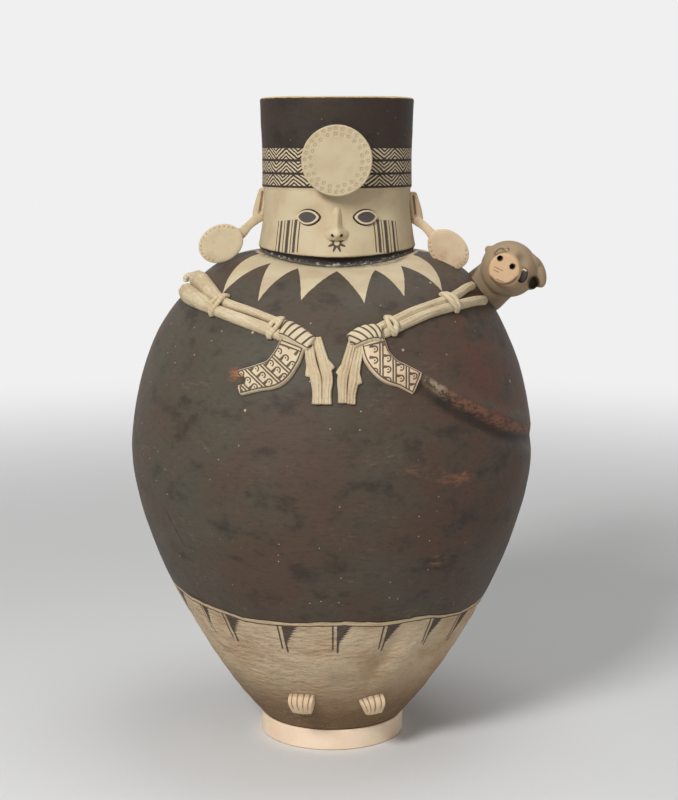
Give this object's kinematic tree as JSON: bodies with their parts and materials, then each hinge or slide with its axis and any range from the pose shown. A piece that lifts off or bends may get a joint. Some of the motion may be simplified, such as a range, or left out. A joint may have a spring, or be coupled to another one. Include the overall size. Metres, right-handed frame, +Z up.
{
  "type": "figural vessel",
  "caption": "Tall egg-shaped clay jar whose neck is a head in a banded hat, with an animal laid round the shoulders, on a low display ring.",
  "frame": {"origin": "on the floor, under the middle of the jar and its ring", "axes": "+Z up the jar, -Y out of its face, +X to the right as seen from the front"},
  "size_m": [0.4078, 0.4, 0.638],
  "materials": {
    "stand_ring": "smooth, plain",
    "black_slip": "worn burnished slip",
    "cream_slip": "matt slip, painted",
    "pink_cream_slip": "matt slip"
  },
  "bodies": {
    "stand": {"display_ring": "stand_ring"},
    "jar": {"jar_body": "black_slip", "neck_head": "cream_slip", "hat_disc": "cream_slip", "hat_disc_peg": "cream_slip", "nose": "cream_slip", "eye_left": "cream_slip", "eye_right": "cream_slip", "ear_left": "pink_cream_slip", "ear_right": "pink_cream_slip", "ear_disc_left": "pink_cream_slip", "ear_disc_right": "pink_cream_slip", "animal_head": "cream_slip", "animal_snout": "pink_cream_slip", "animal_eye_left": "black_slip", "animal_eye_right": "black_slip", "animal_ear_left": "cream_slip", "animal_ear_right": "cream_slip", "tail": "cream_slip", "hind_leg_upper": "cream_slip", "hind_leg_lower": "cream_slip", "hind_tie_outer": "cream_slip", "hind_tie_inner": "cream_slip", "hind_hoof_outer": "cream_slip", "hind_hoof_inner": "cream_slip", "hand_left": "cream_slip", "sleeve_left": "cream_slip", "fore_leg_upper": "cream_slip", "fore_leg_lower": "cream_slip", "fore_tie_outer": "cream_slip", "fore_tie_inner": "cream_slip", "fore_hoof_outer": "cream_slip", "fore_hoof_inner": "cream_slip", "hand_right": "cream_slip", "sleeve_right": "cream_slip", "foot_left": "pink_cream_slip", "foot_right": "pink_cream_slip"}
  },
  "joints": [
    {"name": "jar_lift", "type": "slide", "parent": "stand", "child": "jar", "axis": [0, 0, 1], "range_m": [0, 0.06]}
  ]
}
